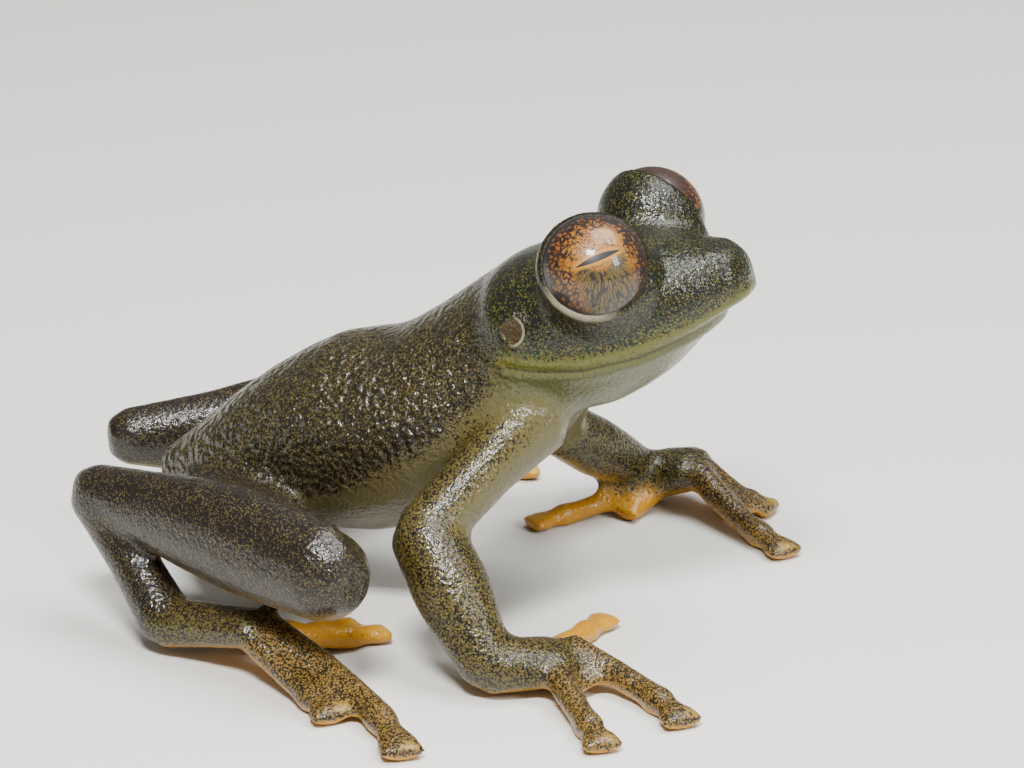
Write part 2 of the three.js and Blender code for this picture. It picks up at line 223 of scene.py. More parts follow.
def remeshed(work):
    mesh = bpy.data.meshes.new("frog_skin")
    work.to_mesh(mesh)
    work.free()
    piece = bpy.data.objects.new("frog_skin", mesh)
    bpy.context.scene.collection.objects.link(piece)
    grid = piece.modifiers.new("grid", "REMESH")
    grid.mode = "VOXEL"
    grid.voxel_size = skin["voxel"]
    view = bpy.context.evaluated_depsgraph_get()
    made = bpy.data.meshes.new_from_object(piece.evaluated_get(view))
    piece.modifiers.clear()
    piece.data = made
    bpy.data.meshes.remove(mesh)
    made.name = "frog_skin"
    return piece


class SkinSurface:
    # vertex places in mm as one array, with what the vertex moves need
    def __init__(self, mesh):
        self.mesh = mesh
        count = len(mesh.vertices)
        self.points = np.empty(count * 3)
        mesh.vertices.foreach_get("co", self.points)
        self.points = self.points.reshape(-1, 3)
        edges = np.empty(len(mesh.edges) * 2, dtype=np.int64)
        mesh.edges.foreach_get("vertices", edges)
        self.edges = edges.reshape(-1, 2)
        self.degree = np.bincount(edges, minlength=count).astype(float)

    def average(self, values):
        values = values.reshape(len(self.degree), -1)
        a, b = self.edges.T
        total = np.zeros_like(values)
        for column in range(values.shape[1]):
            total[:, column] = (
                np.bincount(a, values[b, column], len(values))
                + np.bincount(b, values[a, column], len(values))
            )
        return total / self.degree[:, None]

    def relax(self, rounds, weight=1.0, keepVolume=True):
        weight = np.broadcast_to(weight, len(self.points))[:, None]
        for _ in range(rounds):
            self.points += (self.average(self.points) - self.points) * weight * skin["pull"]
            if keepVolume:
                self.points -= (self.average(self.points) - self.points) * weight * skin["push"]

    def spread(self, mask, rounds):
        for _ in range(rounds):
            mask = 0.5 * mask + 0.5 * self.average(mask)[:, 0]
        return mask

    def normals(self):
        self.write(1.0)
        found = np.empty(len(self.points) * 3)
        self.mesh.vertex_normals.foreach_get("vector", found)
        return found.reshape(-1, 3)

    def move(self, along, amount):
        self.points += along * amount[:, None]

    def write(self, factor):
        self.mesh.vertices.foreach_set("co", (self.points * factor).ravel())
        self.mesh.update()


def step(low, high, value):
    t = np.clip((value - low) / (high - low), 0, 1)
    return t * t * (3 - 2 * t)


def bell(value, width):
    return np.exp(-(value / width) ** 2)


def clip(values):
    return np.clip(values, 0, 1)


# the node nearest to each skin vertex, so that each region takes its own look
def nearestNodes(points):
    places, owners = [], []
    for index, name in enumerate(fleshNames):
        mesh = nodes[name].data
        spots = np.empty(len(mesh.polygons) * 3)
        mesh.polygons.foreach_get("center", spots)
        both = np.r_[spots.reshape(-1, 3), sampleNode(name)] / mm
        places.append(both)
        owners.append(np.full(len(both), index))
    places = np.concatenate(places)
    owners = np.concatenate(owners)
    tree = KDTree(len(places))
    for index, spot in enumerate(places):
        tree.insert(spot, index)
    tree.balance()
    return np.array([owners[tree.find(spot)[1]] for spot in points])


piece = remeshed(joinedFlesh(skin["closeGap"]))
surface = SkinSurface(piece.data)
owner = nearestNodes(surface.points)
print("skin grid:", len(surface.points), "vertices")


def region(*names):
    wanted = [index for index, name in enumerate(fleshNames) if any(part in name for part in names)]
    return np.isin(owner, wanted).astype(float)


# how far each skin vertex is from an eye: out along its axis, and sideways from the axis
def eyeReach(side):
    away = surface.points - np.array(eyes[side]["centre"]) / mm
    axis = np.array(eyes[side]["axis"])
    along = away @ axis
    sideways = away - along[:, None] * axis
    return along, np.linalg.norm(sideways, axis=1), sideways


# 1 where two nodes meet, but not along the mouth
def seamMask():
    a, b = surface.edges.T
    headAndJaw = region("head", "jaw") > 0
    meets = (owner[a] != owner[b]) & ~(headAndJaw[a] & headAndJaw[b])
    seam = np.zeros(len(surface.points))
    seam[a[meets]] = 1
    seam[b[meets]] = 1
    return seam


def smoothSkin():
    eyeNear = np.zeros(len(surface.points))
    for side in eyes:
        along, across, _ = eyeReach(side)
        rim = bell(np.hypot(along, across) - skin["lidReach"], skin["lidWidth"])
        eyeNear = np.maximum(eyeNear, rim * step(*skin["eyeBack"], along))
    trunk = surface.spread(region("torso", "head", "jaw"), skin["partSpread"]) * (1 - eyeNear)
    limbs = surface.spread(region("arm", "thigh", "shank", "tarsus"), skin["partSpread"])
    seams = surface.spread(seamMask(), skin["seamSpread"]) * skin["seamGain"]
    surface.relax(skin["evenRounds"], 1 - 0.5 * eyeNear)
    surface.relax(skin["trunkRounds"], clip(trunk), keepVolume=False)
    surface.relax(skin["limbRounds"], clip(limbs), keepVolume=False)
    surface.relax(skin["seamRounds"], clip(seams), keepVolume=False)


# the smoothed skin goes back to the level of the solids, without their edges or the gaps between them
def settleSkin():
    flesh = joinedFlesh(0.0)
    solids = BVHTree.FromBMesh(flesh)
    flesh.free()
    normals = surface.normals()
    height = np.zeros(len(surface.points))
    for index, spot in enumerate(surface.points):
        found, _, _, distance = solids.find_nearest(spot)
        outward = (Vector(spot) - found).dot(Vector(normals[index]))
        height[index] = math.copysign(min(distance, skin["heightLimit"]), outward)
    rounds = skin["settleRounds"]
    barelyMore = 1.001  # keeps the trust over 0, so that it can be divided by
    trust = barelyMore - clip(surface.spread(seamMask(), skin["settleSpread"]) * skin["settleGain"])
    height = surface.spread(height * trust, rounds) / surface.spread(trust, rounds)
    surface.move(normals, -height)
    surface.relax(skin["lastRounds"])


# Carved features in mm, in the head's own frame: it is turned about the drawing frame's upright axis
features = {
    "headTurn": -5.0,  # degrees
    "neckPoint": (-0.75, 14.0),  # y and z of a point in the plane between head and trunk
    "neckFacing": (-0.874, 0.487),
    "mouthY": [-13.0, -11.2, -9.6, -7.5, -5.1, -3.0, -1.2, 1.5],
    "mouthZ": [17.4, 16.0, 15.02, 14.17, 13.5, 13.27, 13.3, 13.6],
    "mouthCorner": -1.7,  # y where the mouth ends
    "mouthTilt": 0.93,  # distance from the sloping mouth line for each mm over it
    "mouthDepth": 0.1,
    "mouthWidth": 0.14,
    "lipSwell": 0.05,
    "lips": [(0.38, 0.2), (-0.3, 0.16)],  # height over the mouth line and width, upper and lower
    "lidDraw": 8.0,  # degrees that the lid's rim is drawn over the eyeball
    "lidLift": 0.02,
    "lidInner": (62, 76),  # degrees from the eye's axis where the rim begins
    "lidOuter": (122, 84),  # and where it ends
    "lidDeep": (0.75, 0.35),  # over the eyeball, as far as the rim goes
    "lidLow": (0.9, 0.05),  # share of the eye's radius, and the height over it, where the lift begins
    "nostril": (1.32, -10.12, 18.4),
    "nostrilDepth": 0.16,
    "nostrilWidth": 0.16,
    "eardrum": (4.93, -1.9, 15.05),
    "eardrumRadius": 0.62,
    "eardrumMiddle": 0.4,  # radius of its sunken middle
    "eardrumRing": (0.07, 0.14),  # height and width
    "eardrumSink": 0.06,
    "earOutside": 3.6,  # from the middle plane, nearer than which there is no ear
    "farOff": 2.0,  # a distance that stands for no feature near
}


# places in the head's own frame, in mm
def headPlaces(points):
    place = points - np.array(drawnShift) / mm
    turn = math.radians(-features["headTurn"])
    x = place[:, 0] * math.cos(turn) - place[:, 1] * math.sin(turn)
    y = place[:, 0] * math.sin(turn) + place[:, 1] * math.cos(turn)
    return np.c_[x, y, place[:, 2]]


# how far a place lies ahead of the plane between head and trunk
def aheadOfNeck(place):
    y, z = features["neckPoint"]
    facingY, facingZ = features["neckFacing"]
    return (place[:, 1] - y) * facingY + (place[:, 2] - z) * facingZ


def evenNeck():
    ahead = aheadOfNeck(headPlaces(surface.points))
    body = clip(surface.spread(region("torso", "head", "jaw"), skin["neckSpread"]))
    surface.relax(skin["neckRounds"], bell(ahead, skin["neckWidth"]) * body, keepVolume=False)


smoothSkin()
settleSkin()
evenNeck()
headMask = surface.spread(region("head", "jaw"), 3)
print("skin smoothed")


# height over the mouth line, far off where there is no mouth
def mouthDistance(place):
    far = features["farOff"]
    line = np.interp(place[:, 1], features["mouthY"], features["mouthZ"])
    past = np.maximum(place[:, 1] - features["mouthCorner"], 0)
    height = (place[:, 2] - line) * features["mouthTilt"]
    distance = np.copysign(np.hypot(height, past), height)
    return np.where(headMask > 0.02, np.clip(distance, -far, far), far)


# places from a feature that both sides of the head have
def fromFeature(place, name):
    return np.c_[np.abs(place[:, 0]), place[:, 1:]] - np.array(features[name])


def earDistance(place):
    spots = fromFeature(place, "eardrum")
    inside = np.abs(place[:, 0]) < features["earOutside"]
    far = features["farOff"]
    return np.minimum(np.hypot(spots[:, 1], spots[:, 2]), far) + np.where(inside, far, 0.0)


def nostrilDistance(place):
    return np.minimum(np.linalg.norm(fromFeature(place, "nostril"), axis=1), features["farOff"])


# the lid's rim is drawn some degrees further over the eyeball, and stands a little off it
def drawLid(side):
    along, across, sideways = eyeReach(side)
    reach = np.hypot(along, across)
    radius = eyes[side]["radius"] / mm
    centre = np.array(eyes[side]["centre"]) / mm
    axis = np.array(eyes[side]["axis"])
    angle = np.degrees(np.arctan2(across, along))
    deep, shallow = features["lidDeep"]
    rim = step(*features["lidInner"], angle) * step(*features["lidOuter"], angle)
    rim = rim * step(radius + deep, radius + shallow, reach)
    turned = np.radians(angle - features["lidDraw"] * rim)
    share, over = features["lidLow"]
    reach = reach + features["lidLift"] * rim * step(share * radius, radius + over, reach)
    sideways = sideways / np.maximum(across, 1e-6)[:, None]
    spot = centre + (reach * np.cos(turned))[:, None] * axis + (reach * np.sin(turned))[:, None] * sideways
    surface.points = np.where((rim > 0)[:, None], spot, surface.points)


def carveSkin():
    normals = surface.normals()
    place = headPlaces(surface.points)
    mouth = mouthDistance(place)
    groove = -features["mouthDepth"] * bell(mouth, features["mouthWidth"])
    lips = features["lipSwell"] * sum(bell(mouth - height, width) for height, width in features["lips"])
    ear = earDistance(place)
    radius = features["eardrumRadius"]
    ringHeight, ringWidth = features["eardrumRing"]
    drum = ringHeight * bell(ear - radius, ringWidth)
    drum = drum - features["eardrumSink"] * step(radius, features["eardrumMiddle"], ear)
    nose = -features["nostrilDepth"] * bell(nostrilDistance(place), features["nostrilWidth"])
    surface.move(normals, groove + lips + drum + nose)
    for side in eyes:
        drawLid(side)


carveSkin()
# the floor cuts the soles flat, and no tip reaches past the solids' box
surface.points = np.clip(surface.points, np.array(cadBox[0]) / mm, np.array(cadBox[1]) / mm)
print("skin top mm", round(float(surface.points[:, 2].max()), 3), "of", round(cadBox[1][2] / mm, 3))
print("skin carved")


# Where each look of the skin begins and ends. A pair runs from 0 to 1: a height or length is in mm, and
# a share is how far the skin's normal faces up (or back, for the arm).
look = {
    # the dark back ends at this line on the flank
    "bellyY": [-4.0, -0.9, 0.5, 2.4, 3.9, 5.3, 7.2, 10.0, 14.0],
    "bellyZ": [13.4, 11.9, 10.3, 8.5, 7.6, 6.6, 5.4, 4.4, 3.6],
    "bellyEdge": (-0.4, 1.5),
    "bellyShare": (-0.82, -0.2),
    "cheekEdge": (0.12, 1.5),
    "armBack": (0.45, 0.78, 0.5),  # the way the dark side of the upper arm faces, sideways, back and up
    "armShare": (-0.35, 0.35),
    "armHeight": (11.6, 10.2),
    "limbShare": (-0.9, -0.5),
    "digitShare": (-0.55, 0.0),
    "hindStart": (-1.0, 2.0),
    "neckEdge": (-2.2, 1.6),
    "neckSpread": 30,
    "neckWidth": 1.4,
    "skullEnd": -1.5,
    "flankHeight": (3.2, 0.2),
    "flankStart": (0.5, 3.5),
    "legStart": (1, 6),
    "legHeight": (1.5, 3.5),
    "legFlank": 0.85,
    "earAhead": (0.1, -0.35),
    "trunkDots": 0.76,  # how dense the black cells are, 0 to 1
    "skullDots": 0.35,
    "cheekDots": 0.45,  # over the mouth, on top of the skull's
    "armDots": 0.6,
    "limbDots": 0.62,
    "hindDots": 0.2,  # on top of the limbs'
    "longDigitDots": 0.66,
    "plainDigitDots": 0.08,
    "limbOrange": 0.8,
    "hindOrange": 0.5,  # taken off the limbs'
    "digitTopOrange": 0.65,  # taken off the long digits'
    "headGranules": 0.7,  # taken off the back's
    "bodySpread": 10,  # rounds that a region's edge is softened by
    "limbSpread": 12,
    "headSpread": 3,
    "padTip": 1.1,  # round each digit's tip, where its pad is
    "padFar": 3.0,
    "lidFar": 5.0,
    "lidFront": 0.25,  # along the eye's axis, in front of which the lid's own look begins
    "lidLower": (0.95, -0.3),  # the lower lid is down from the axis, and a little behind it
}


# the round pads at the ends of the fingers and toes
def padCentres():
    centres = []
    for name in fleshNames:
        if "finger" not in name and "toe" not in name:
            continue
        side = name.split("_")[0]
        root = sampleNode(side + ("_hand" if "finger" in name else "_foot")).mean(0)
        points = sampleNode(name)
        away = np.linalg.norm(points - root, axis=1)
        tip = points[away.argmax()]
        nearTip = points[np.linalg.norm(points - tip, axis=1) < look["padTip"] * mm]
        centres.append(nearTip.mean(0) / mm)
    return np.array(centres)


def padDistance():
    best = np.full(len(surface.points), look["padFar"])
    for centre in padCentres():
        best = np.minimum(best, np.linalg.norm(surface.points - centre, axis=1))
    return best


# distance from the eye's axis, and how far a place lies on the lower lid
def lidFields():
    distance = np.full(len(surface.points), look["lidFar"])
    angle = np.zeros(len(surface.points))
    downShare, aheadShare = look["lidLower"]
    lowerWay = np.array((0, 0, -1.0)) * downShare + np.array(headFront) * aheadShare
    for side in eyes:
        along, across, sideways = eyeReach(side)
        lower = (sideways / np.maximum(across, 0.01)[:, None]) @ lowerWay
        here = (across < distance) & (along > look["lidFront"])
        distance = np.where(here, across, distance)
        angle = np.where(here, lower, angle)
    return distance, angle


def paintMasks():
    points = surface.points
    place = points - np.array(drawnShift) / mm
    headPlace = headPlaces(points)
    normals = surface.normals()
    up = normals[:, 2]

    # the regions, with soft edges
    body, limb = look["bodySpread"], look["limbSpread"]
    trunk = surface.spread(region("torso"), body)
    skull = surface.spread(region("head"), look["headSpread"])
    neck = clip(surface.spread(region("torso", "head"), body)) - trunk
    skull = np.where(headPlace[:, 1] > look["skullEnd"], clip(neck), skull)
    jaw = surface.spread(region("lower_jaw"), look["headSpread"])
    upperArm = surface.spread(region("upper_arm"), limb)
    limbs = surface.spread(region("forearm", "hand", "thigh", "shank", "tarsus", "foot"), limb)
    plainDigits = surface.spread(region("finger_1", "finger_2", "toe_1", "toe_2", "toe_3"), body)
    longDigits = surface.spread(region("finger_3", "finger_4", "toe_4", "toe_5"), body)
    hind = step(*look["hindStart"], place[:, 1]) * region("thigh", "shank", "tarsus")
    hind = surface.spread(hind, limb)

    # which side of each region a place is on
    overBelly = place[:, 2] - np.interp(place[:, 1], look["bellyY"], look["bellyZ"])
    dark = step(*look["bellyEdge"], overBelly) * step(*look["bellyShare"], up)
    mouth = mouthDistance(headPlace)
    cheek = step(*look["cheekEdge"], mouth)
    outward, backward, upward = look["armBack"]
    armBack = normals @ np.array((0, backward, upward)) + outward * normals[:, 0] * np.sign(place[:, 0])
    armTop = step(*look["armShare"], armBack) * step(*look["armHeight"], place[:, 2])
    limbTop = step(*look["limbShare"], up)
    digitTop = step(*look["digitShare"], up)

    dots = trunk * dark * look["trunkDots"] + skull * (look["skullDots"] + look["cheekDots"] * cheek)
    dots += upperArm * armTop * look["armDots"]
    dots += limbs * limbTop * (look["limbDots"] + look["hindDots"] * hind)
    dots += longDigits * digitTop * look["longDigitDots"] + plainDigits * digitTop * look["plainDigitDots"]
    orange = limbs * (1 - limbTop) * (look["limbOrange"] - look["hindOrange"] * hind)
    orange += plainDigits + longDigits * (1 - look["digitTopOrange"] * digitTop)
    cream = trunk * (1 - dark) + jaw + upperArm * (1 - armTop)
    neckAhead = aheadOfNeck(headPlace)
    green = step(*look["neckEdge"], neckAhead) * clip(trunk + skull + jaw)
    flank = trunk * step(*look["flankHeight"], overBelly) * step(*look["flankStart"], place[:, 1])
    legs = look["legFlank"] * limbs * step(*look["legStart"], place[:, 1])
    flank = clip(flank + legs * step(*look["legHeight"], place[:, 2]))
    granule = clip(trunk * dark * (1 - look["headGranules"] * green))

    # no edge shows across the neck
    atNeck = bell(neckAhead, look["neckWidth"])
    softened = []
    for values in (dots, green, granule):
        softened.append(values + atNeck * (surface.spread(values, look["neckSpread"]) - values))
    dots, green, granule = softened

    lid, lidAngle = lidFields()
    earAhead = step(*look["earAhead"], headPlace[:, 1] - features["eardrum"][1])
    unused = np.ones(len(points))  # a layer has four values
    return {
        "skinTint": np.c_[clip(dots), clip(orange), clip(cream), unused],
        "skinGrain": np.c_[green, flank, granule, clip(limbs + upperArm)],
        "skinMark": np.c_[lid, lidAngle, mouth, earDistance(headPlace)],
        "skinPads": np.c_[padDistance(), nostrilDistance(headPlace), clip(up), earAhead],
    }


for label, values in paintMasks().items():
    layer = surface.mesh.color_attributes.new(label, "FLOAT_COLOR", "POINT")
    layer.data.foreach_set("color", values.ravel())
print("skin masks painted")

surface.write(mm)
for face in surface.mesh.polygons:
    face.use_smooth = True


# A pair of colours is blended by chance from cell to cell, or by a cloud. Sizes and distances are in mm.
skinPaint = {
    "cellSize": 0.1,  # the pale cells between the black ones
    "cellWander": 0.1,
    "wanderSize": 0.18,
    "cloudSize": 1.3,
    "cloudGain": (0.3, 0.85),  # how much the density of the black cells varies, and its least
    "netReach": 0.82,  # how far full density closes the black net in
    "cellChance": 0.34,
    "netEdge": (-0.06, 0.06),
    "padSize": (0.25, 0.7),
    "padUp": (0.3, 0.75),
    "padBare": 0.8,
    "lipMiddle": 0.2,
    "lipEdge": (0.16, 0.5),
    "lipBare": 0.75,
    "backCells": ("#6e5f38", "#8c7f58"),
    "headCells": ("#565320", "#807c38"),
    "headFlecks": "#42773a",
    "fleckChance": (0.86, 0.9),
    "limbCells": ("#75662f", "#8f814c"),
    "flankCells": "#6a5a48",
    "flankStrength": 0.7,
    "chest": ("#867c5d", "#807c60"),
    "throat": "#6f7550",
    "digits": ("#b07400", "#c68d00"),
    "pads": "#b4963a",
    "padStrength": 0.7,
    "lips": "#86873a",
    "lipStrength": 0.8,
    "backNet": "#2c2412",
    "headNet": "#171407",
    "limbNet": "#1e170d",
    "flankNet": "#251b1c",
    "pigmentLayer": (0.42, 0.4, 0.26, 1.0),  # share of the light that brown and yellow cells let back
    "lowerLid": "#857d69",
    "lowerLidEdge": (2.47, 2.55),
    "lowerLidTurn": (0.45, 0.8),
    "lidCorner": "#b5813a",
    "lidCornerReach": 2.57,
    "lidCornerEdge": (0.01, 0.05),
    "lidCornerTurn": (0.8, 0.97),
    "lidCornerStrength": 0.8,
    # painted shade in the groove between the upper lid and the eyeball
    "upperRim": "#1c130a",
    "upperRimEdge": (2.42, 2.5),
    "upperRimTurn": (0.1, 0.5),
    "upperRimStrength": 0.75,
    "mouthSlit": "#2f2a14",
    "slitEdge": (0.03, 0.09),
    "slitStrength": 0.75,
    "nostrilHole": "#120d07",
    "nostrilEdge": (0.08, 0.17),
    "eardrum": "#4a3419",
    "eardrumEdge": (0.45, 0.6),
    "eardrumStrength": 0.45,
    "eardrumRing": "#79735a",
    "eardrumRingEdge": (0.03, 0.09),
    "filmEdge": (2.4, 2.6),
    "film": 0.6,
    "filmRoughness": 0.12,
    "roughness": 0.5,
    "refraction": 1.3,
    "granuleSize": 0.34,
    "fineSize": 0.2,
    "fineHeight": 0.32,
    "bumpHeight": 0.22,
}


# where the black cells lie: 1 in the net, 0 in a pale cell; the net closes in as their density rises
def blackNet(mixer, cells, chance, density):
    reach = mixer.sum("MULTIPLY_ADD", density, -skinPaint["netReach"], 1.0)
    offset = mixer.sum("SUBTRACT", chance[0], 0.5)
    reach = mixer.sum("MULTIPLY_ADD", offset, skinPaint["cellChance"], reach)
    return mixer.ramp(mixer.sum("SUBTRACT", cells.outputs["Distance"], reach), *skinPaint["netEdge"])


# Moist frog skin: a thin clear film of mucus over black pigment cells that are strewn on yellow-green
# ones, so it is dark and stippled, glints on each granule, and turns cream where the black cells end
def frogSkinMaterial():
    material, tree = newMaterial("moist_stippled_frog_skin")
    mixer = Mixer(tree)
    paint = skinPaint
    place = addNode(tree, "ShaderNodeTexCoord").outputs["Object"]
    dots, orange, cream, _ = mixer.layer("skinTint")
    green, flank, granule, limb = mixer.layer("skinGrain")
    lid, lidAngle, mouth, ear = mixer.layer("skinMark")
    pad, nostril, up, ahead = mixer.layer("skinPads")

    wander = mixer.noise(place, paint["wanderSize"] * mm, 1.0)
    warped = mixer.pushed(place, wander, (paint["cellWander"] * mm,) * 3)
    cells = mixer.cells(warped, 1 / (paint["cellSize"] * mm))
    chance = addNode(tree, "ShaderNodeSeparateColor", {"Color": cells.outputs["Color"]}).outputs
    cloud = mixer.noise(place, paint["cloudSize"] * mm).outputs[0]
    crowd = mixer.sum("MULTIPLY_ADD", cloud, *paint["cloudGain"])
    padPale = mixer.times(mixer.fade(pad, *paint["padSize"]), mixer.ramp(up, *paint["padUp"]))
    lip = mixer.band(mouth, paint["lipMiddle"], *paint["lipEdge"])
    bare = mixer.sum("MAXIMUM", mixer.times(padPale, paint["padBare"]), mixer.times(lip, paint["lipBare"]))
    density = mixer.times(mixer.times(dots, crowd), mixer.sum("SUBTRACT", 1.0, bare))
    black = blackNet(mixer, cells, chance, density)

    # the pale cells: olive and gold on the back, green and gold on the head, cream and amber below
    brown = mixer.blend(chance[1], *paint["backCells"])
    leaf = mixer.blend(chance[1], *paint["headCells"])
    leaf = mixer.blend(mixer.ramp(chance[2], *paint["fleckChance"]), leaf, paint["headFlecks"])
    base = mixer.blend(green, brown, leaf)
    base = mixer.blend(limb, base, mixer.blend(chance[1], *paint["limbCells"]))
    base = mixer.blend(mixer.times(flank, paint["flankStrength"]), base, paint["flankCells"])
    chest = mixer.blend(cloud, *paint["chest"])
    base = mixer.blend(cream, base, mixer.blend(green, chest, paint["throat"]))
    base = mixer.blend(orange, base, mixer.blend(cloud, *paint["digits"]))
    base = mixer.blend(mixer.times(padPale, paint["padStrength"]), base, paint["pads"])
    base = mixer.blend(mixer.times(lip, paint["lipStrength"]), base, paint["lips"])
    net = mixer.blend(limb, mixer.blend(green, paint["backNet"], paint["headNet"]), paint["limbNet"])
    net = mixer.blend(flank, net, paint["flankNet"])
    colour = mixer.blend(black, base, net)

    # the layer of brown and yellow cells over all but the orange parts takes light away, blue most of all
    deep = mixer.blend(1.0, colour, paint["pigmentLayer"], way="MULTIPLY")
    colour = mixer.blend(orange, deep, colour)

    # grey-white lower lid with an orange corner, and painted shade in the groove where the upper lid meets
    # the eyeball
    lower = mixer.ramp(lidAngle, *paint["lowerLidTurn"])
    lower = mixer.times(mixer.fade(lid, *paint["lowerLidEdge"]), lower)
    colour = mixer.blend(lower, colour, paint["lowerLid"])
    corner = mixer.band(lid, paint["lidCornerReach"], *paint["lidCornerEdge"])
    corner = mixer.times(corner, mixer.ramp(lidAngle, *paint["lidCornerTurn"]))
    colour = mixer.blend(mixer.times(corner, paint["lidCornerStrength"]), colour, paint["lidCorner"])
    # painted shade in the groove along the upper lid's edge
    upper = mixer.fade(lidAngle, *paint["upperRimTurn"])
    upper = mixer.times(mixer.fade(lid, *paint["upperRimEdge"]), upper)
    colour = mixer.blend(mixer.times(upper, paint["upperRimStrength"]), colour, paint["upperRim"])

    # the slit of the mouth, the nostrils, the eardrum and its pale front edge
    slit = mixer.band(mouth, 0.0, *paint["slitEdge"])
    colour = mixer.blend(mixer.times(slit, paint["slitStrength"]), colour, paint["mouthSlit"])
    colour = mixer.blend(mixer.fade(nostril, *paint["nostrilEdge"]), colour, paint["nostrilHole"])
    drum = mixer.times(mixer.fade(ear, *paint["eardrumEdge"]), paint["eardrumStrength"])
    colour = mixer.blend(drum, colour, paint["eardrum"])
    ring = mixer.times(mixer.band(ear, features["eardrumRadius"], *paint["eardrumRingEdge"]), ahead)
    colour = mixer.blend(ring, colour, paint["eardrumRing"])

    # no wet film in the groove round the eyeball, so that it stays dark
    film = mixer.times(mixer.ramp(lid, *paint["filmEdge"]), paint["film"])

    # granules on the back, finer grain elsewhere
    pebbles = mixer.cells(place, 1 / (paint["granuleSize"] * mm), "SMOOTH_F1")
    pebbleHeight = mixer.times(pebbles.outputs["Distance"], mixer.times(granule, -1.0))
    fine = mixer.noise(place, paint["fineSize"] * mm).outputs[0]
    height = mixer.sum("MULTIPLY_ADD", fine, paint["fineHeight"], pebbleHeight)
    bump = addNode(tree, "ShaderNodeBump", {
        "Height": height, "Strength": 1.0, "Distance": paint["bumpHeight"] * mm})
    shader = addNode(tree, "ShaderNodeBsdfPrincipled", {
        "Base Color": colour, "Roughness": paint["roughness"], "IOR": paint["refraction"],
        "Coat Weight": film, "Coat Roughness": paint["filmRoughness"],
        "Normal": bump.outputs[0], "Coat Normal": bump.outputs[0]})
    addNode(tree, "ShaderNodeOutputMaterial", {"Surface": shader.outputs[0]})
    return material


piece.data.materials.clear()
piece.data.materials.append(frogSkinMaterial())
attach(piece, "root")
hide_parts(*fleshNames)
print("skin done")


# Eyes: a wet ball, copper iris with black net, thin level pupil. Lengths are in eye radii.
eyeLook = {
    "subdivisions": 6,
    "pupilLength": 0.45,  # half length
    "pupilHeight": 0.06,  # half height
    "pupilRise": 34.0,  # degrees, towards the snout
    "pupilEdge": (-0.006, 0.004),
    "pupil": "#030202",
    "goldLip": "#a8741c",  # round the pupil
    "goldLipEdge": (-0.09, -0.02),
    "goldLipLength": (0.4, 0.6),
    "goldLipStrength": 0.8,
    "towardSnout": 0.08,  # how far the iris looks ahead of the eyeball's own axis
    "netCells": 10.5,
    "netWaveSize": 0.16,
    "netWave": (0.2, 0.2, 0.2),
    "netWidth": (0.19, 0.06),  # what the net's width gains towards the rim, and its least
    "netWiden": (0.3, 0.88),
    "netEdge": (0.5, 1.1),
    "netGapSize": 0.3,
    "netGaps": (0.36, 0.52),
    "netWhole": (0.55, 0.8),  # from here out the net has no gaps
    "fanTurn": 5.2,
    "fanLength": 2.2,
    "fanWave": (0.9, 0.9, 0.0),
    "fanCells": 1.7,
    "fanEdge": (0.05, 0.14),
    "fanTop": (0.02, -0.14),
    "fanSide": (0.38, 0.6),
    "fanStart": (0.2, 0.3),
    "fanStrength": 0.85,
    "grainSize": 0.05,
    "gold": ("#7c4806", "#a57018"),
    "rust": ("#5c2e06", "#7d4c12"),
    "rustFrom": (0.45, 0.85),
    "sage": ("#383310", "#524c20"),
    "lines": "#140a08",
    "rim": "#0d0806",
    "rimEdge": (0.89, 0.92),
    "outerRim": "#3a2616",
    "outerRimEdge": (0.955, 0.985),
    "behind": "#2a1b10",
    "behindEdge": (0.0, 0.15),
    "shade": "#2b170c",  # painted shade of the lid, on the upper part of the left iris
    "shadeFrom": (0.5, 0.75),
    "shadeHeight": (-0.1, 0.3),
    "shadeStrength": {"right": 0.0, "left": 0.9},
    "roughness": 0.45,
    "cornea": 0.8,
    "corneaRoughness": 0.02,
    "corneaRefraction": 1.34,
}


# the eye's own frame: x along the pupil, y up, z out, 1 is the eye's radius
def eyeFrame(tree, side):
    place = eyes[side]
    axis = (place["axis"] + headFront * eyeLook["towardSnout"]).normalized()
    rise = math.radians(eyeLook["pupilRise"])
    along = headFront * math.cos(rise) + Vector((0, 0, math.sin(rise)))
    along = (along - axis * along.dot(axis)).normalized()
    upward = axis.cross(along)
    if upward.z < 0:
        upward = -upward
        along = upward.cross(axis)
    turn = Matrix((along, upward, axis)).transposed().to_euler()
    where = addNode(tree, "ShaderNodeTexCoord").outputs["Object"]
    return addNode(tree, "ShaderNodeMapping", {
        "Vector": where, "Location": place["centre"], "Rotation": turn, "Scale": (place["radius"],) * 3,
    }, vector_type="TEXTURE").outputs[0]


